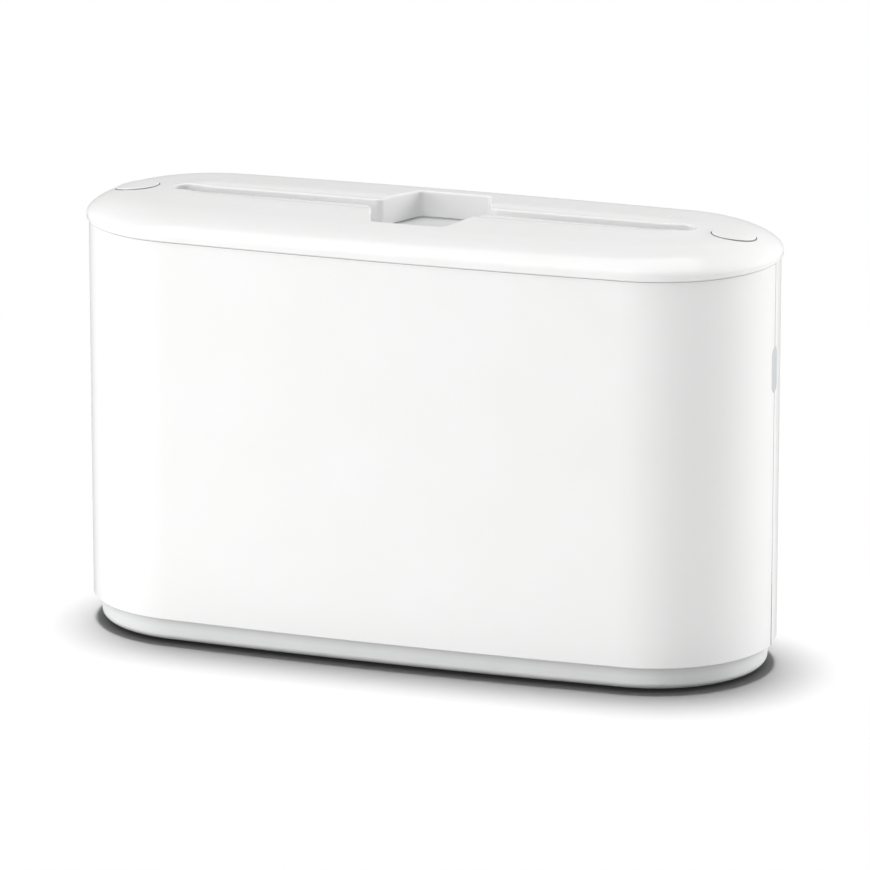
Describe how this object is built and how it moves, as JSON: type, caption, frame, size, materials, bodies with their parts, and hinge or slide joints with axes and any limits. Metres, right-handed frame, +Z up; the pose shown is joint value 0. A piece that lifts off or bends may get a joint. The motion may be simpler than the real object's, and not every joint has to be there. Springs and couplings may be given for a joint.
{
  "type": "paper towel dispenser",
  "caption": "Countertop pop-up hand towel dispenser: oval gloss white case, lift-off domed lid with slot and hand opening, push-button latches, sprung towel platform.",
  "frame": {"origin": "middle of the surface that the rubber feet stand on", "axes": "+X to the right along the long side, -Y to the front, +Z up"},
  "size_m": [0.322, 0.1164, 0.1993],
  "materials": {
    "gloss_white": "high gloss injection-moulded white",
    "tray_grey": "satin light grey",
    "platform_grey": "satin light grey",
    "liner_white": "satin off-white",
    "acetal": "smooth natural",
    "window_grey": "tinted grey, smooth",
    "steel": "zinc plated",
    "spring_steel": "drawn wire",
    "foot_rubber": "matte"
  },
  "bodies": {
    "housing": {"front_cover": "gloss_white", "rear_cover": "gloss_white", "base_tray": "tray_grey", "front_left_foot": "foot_rubber", "front_right_foot": "foot_rubber", "rear_left_foot": "foot_rubber", "rear_right_foot": "foot_rubber", "left_latch_catch": "steel", "right_latch_catch": "steel", "left_level_window": "window_grey", "right_level_window": "window_grey", "towel_magazine": "liner_white", "cover_screws": "steel", "seam_screws": "steel", "magazine_screws": "steel", "left_lift_spring": "spring_steel", "right_lift_spring": "spring_steel"},
    "lid": {"lid_shell": "gloss_white", "lid_frame": "liner_white", "frame_screws": "steel", "left_latch_carrier": "liner_white", "right_latch_carrier": "liner_white", "carrier_screws": "steel", "left_button_spring": "spring_steel", "right_button_spring": "spring_steel"},
    "left_button": {"left_button": "gloss_white"},
    "right_button": {"right_button": "gloss_white"},
    "left_bolt": {"left_latch_bolt": "acetal"},
    "right_bolt": {"right_latch_bolt": "acetal"},
    "platform": {"towel_platform": "platform_grey"}
  },
  "joints": [
    {"name": "lid_lift", "type": "slide", "parent": "housing", "child": "lid", "axis": [0, 0, 1], "range_m": [0, 0.12]},
    {"name": "left_button_press", "type": "slide", "parent": "lid", "child": "left_button", "axis": [0, 0, -1], "range_m": [0, 0.0035], "stiffness_N_per_m": 800, "springref_m": -0.002, "deforming": ["left_button_spring"]},
    {"name": "left_bolt_slide", "type": "slide", "parent": "lid", "child": "left_bolt", "axis": [1, 0, 0], "range_m": [0, 0.0035]},
    {"name": "right_button_press", "type": "slide", "parent": "lid", "child": "right_button", "axis": [0, 0, -1], "range_m": [0, 0.0035], "stiffness_N_per_m": 800, "springref_m": -0.002, "deforming": ["right_button_spring"]},
    {"name": "right_bolt_slide", "type": "slide", "parent": "lid", "child": "right_bolt", "axis": [-1, 0, 0], "range_m": [0, 0.0035]},
    {"name": "platform_drop", "type": "slide", "parent": "housing", "child": "platform", "axis": [0, 0, -1], "range_m": [0, 0.14], "stiffness_N_per_m": 40, "springref_m": -0.05, "deforming": ["left_lift_spring", "right_lift_spring"]}
  ],
  "couplings": [
    {"joint": "left_bolt_slide", "follows": "left_button_press", "ratio": 1},
    {"joint": "right_bolt_slide", "follows": "right_button_press", "ratio": 1}
  ]
}
